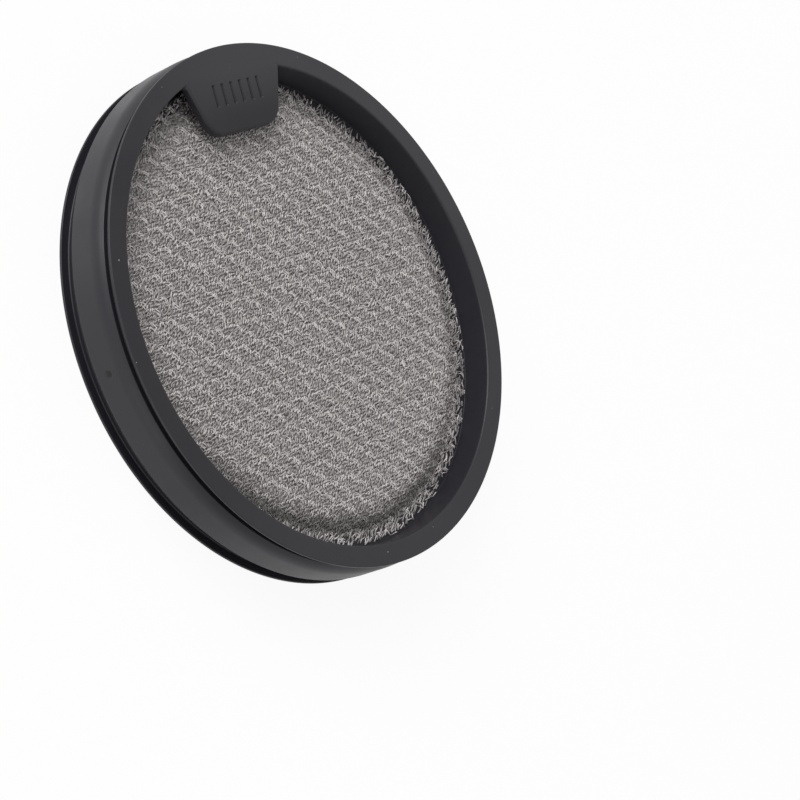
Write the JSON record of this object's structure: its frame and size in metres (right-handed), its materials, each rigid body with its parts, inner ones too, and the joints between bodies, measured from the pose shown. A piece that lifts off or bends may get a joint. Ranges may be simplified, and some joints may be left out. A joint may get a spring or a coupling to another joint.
{
  "type": "vacuum cleaner filter",
  "caption": "Round washable vacuum cleaner filter: a soft moulded rim with a grooved sealing band and a pull tab holds a foam pad and a felt pad between nets.",
  "frame": {"origin": "centre of the rear rim face, on the surface the filter lies on", "axes": "+Z along the filter's axis towards the dust side, +Y towards the pull tab"},
  "size_m": [0.0944, 0.0944, 0.0126],
  "materials": {
    "rim_rubber": "matt dark grey moulded rubber",
    "grey_net": "light grey knitted net",
    "foam": "grey brown fibrous pad",
    "felt": "white fibre felt",
    "white_net": "fine white net"
  },
  "bodies": {
    "root": {"rim": "rim_rubber", "front_net": "grey_net", "foam_pad": "foam", "felt_pad": "felt", "rear_net": "white_net"}
  },
  "joints": []
}
